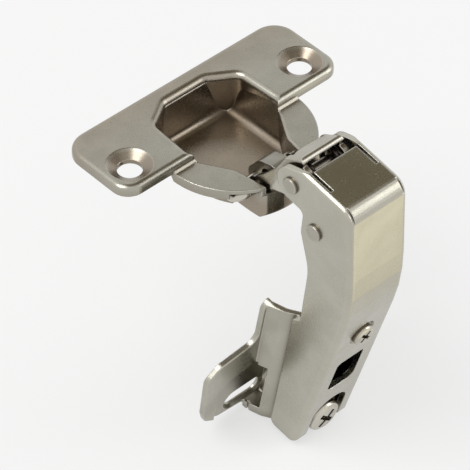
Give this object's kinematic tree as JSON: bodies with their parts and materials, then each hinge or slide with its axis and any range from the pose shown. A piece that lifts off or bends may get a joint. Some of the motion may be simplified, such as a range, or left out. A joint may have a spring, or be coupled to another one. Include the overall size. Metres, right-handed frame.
{
  "type": "concealed cup hinge",
  "caption": "Concealed cup hinge for a folding corner door: pressed steel cup with an oval flange, crossing links, a swan-neck arm and a winged mounting plate.",
  "frame": {"origin": "on the mounting plate's base plane, half way between the centres of its two slots", "axes": "+Y out of the cabinet side through the arm, +Z along the arm towards the cup, X across the hinge"},
  "size_m": [0.061, 0.0655, 0.0812],
  "materials": {
    "cup_nickel": "satin nickel plate",
    "staple_nickel": "bright nickel plate",
    "link_nickel": "bright nickel plate",
    "inner_link_nickel": "satin nickel plate",
    "rivet_steel": "satin plate",
    "spring_steel": "oiled dark wire",
    "washer_nylon": "black nylon",
    "arm_nickel": "satin nickel plate",
    "screw_nickel": "bright nickel plate",
    "plate_nickel": "satin nickel plate"
  },
  "bodies": {
    "plate": {"mounting_plate": "plate_nickel"},
    "fixing_screw": {"fixing_screw": "screw_nickel"},
    "arm": {"arm": "arm_nickel", "front_rivet": "rivet_steel", "rear_rivet": "rivet_steel", "link_spring": "spring_steel", "front_washer_left": "washer_nylon", "front_washer_right": "washer_nylon", "rear_spacer_left": "washer_nylon", "rear_spacer_right": "washer_nylon"},
    "side_screw": {"side_screw": "screw_nickel"},
    "outer_link": {"outer_link": "link_nickel"},
    "cup": {"cup": "cup_nickel", "cup_staple": "staple_nickel"},
    "inner_link": {"inner_link": "inner_link_nickel"}
  },
  "joints": [
    {"name": "depth_slide", "type": "slide", "parent": "plate", "child": "arm", "axis": [0, 0, 1], "range_m": [-0.002, 0.003]},
    {"name": "fixing_screw_turn", "type": "hinge", "parent": "plate", "child": "fixing_screw", "pos_m": [0, 0.012, 0], "axis": [0, 1, 0], "range_deg": [-720, 720]},
    {"name": "side_screw_turn", "type": "hinge", "parent": "arm", "child": "side_screw", "pos_m": [0, 0.018, 0.0352], "axis": [0, 1, 0], "range_deg": [-1080, 1080]},
    {"name": "front_pivot", "type": "hinge", "parent": "arm", "child": "outer_link", "pos_m": [0, 0.0011, 0.07009], "axis": [-1, 0, 0], "range_deg": [0, 31.5]},
    {"name": "cup_pivot", "type": "hinge", "parent": "outer_link", "child": "cup", "pos_m": [0, -0.00954, 0.0577], "axis": [-1, 0, 0], "range_deg": [0, 113.5]},
    {"name": "inner_pivot", "type": "hinge", "parent": "cup", "child": "inner_link", "pos_m": [0, -0.01286, 0.05496], "axis": [1, 0, 0], "range_deg": [0, 109.7]}
  ],
  "couplings": [
    {"joint": "front_pivot", "follows": "cup_pivot", "ratio": 0.27714},
    {"joint": "inner_pivot", "follows": "cup_pivot", "ratio": 0.96552}
  ]
}
